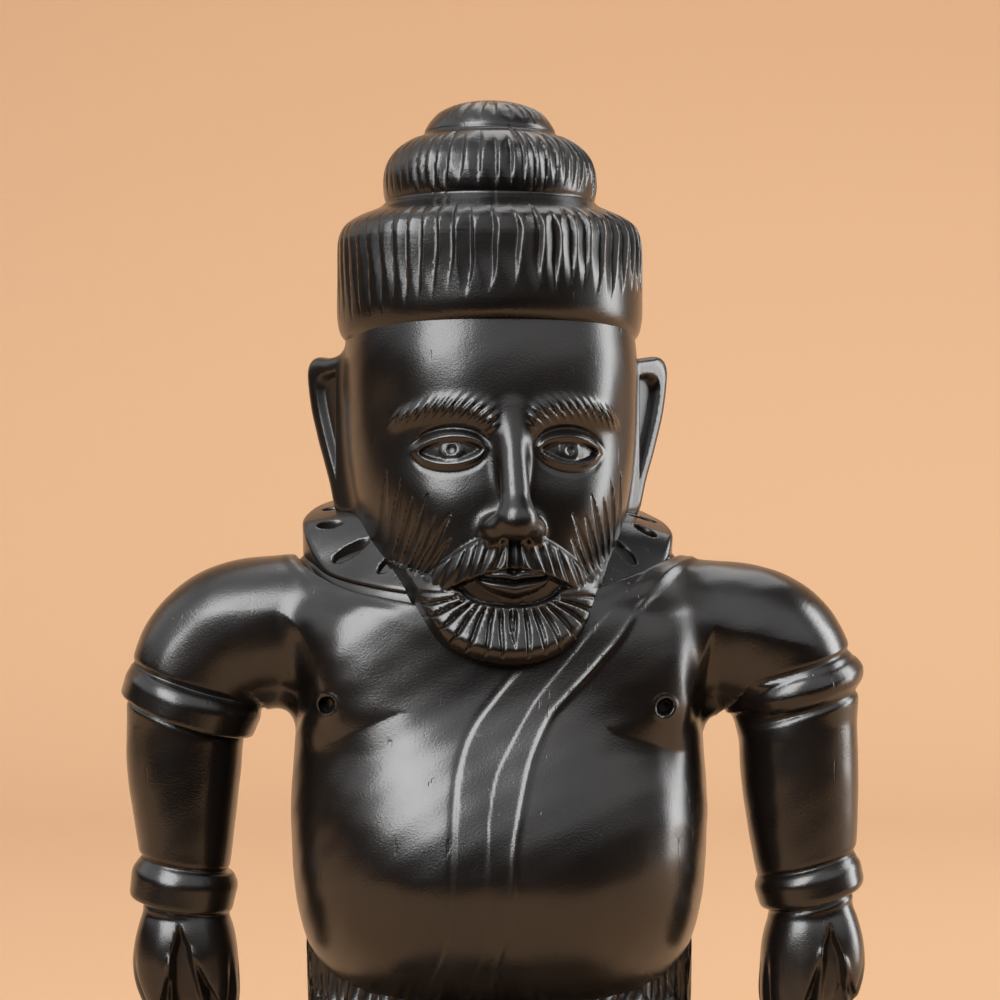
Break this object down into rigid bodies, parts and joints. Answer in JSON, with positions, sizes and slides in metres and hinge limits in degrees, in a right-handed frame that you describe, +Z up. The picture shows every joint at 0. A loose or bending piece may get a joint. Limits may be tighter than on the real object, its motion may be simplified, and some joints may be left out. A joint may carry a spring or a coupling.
{
  "type": "carved ebony sage statue",
  "caption": "Standing sage carved from one block of dark ebony, with piled hair, beard, collar, shoulder sash and arms at the sides, on a low stepped base.",
  "frame": {"origin": "middle of the underside of the base", "axes": "+Z up through the head, -Y the way the figure faces, +X towards the figure's left hand"},
  "size_m": [0.1184, 0.064, 0.201],
  "materials": {
    "ebony": "near-black ebony, hand carved, sanded and waxed to a shine"
  },
  "bodies": {
    "root": {"carved_figure": "ebony"}
  },
  "joints": []
}
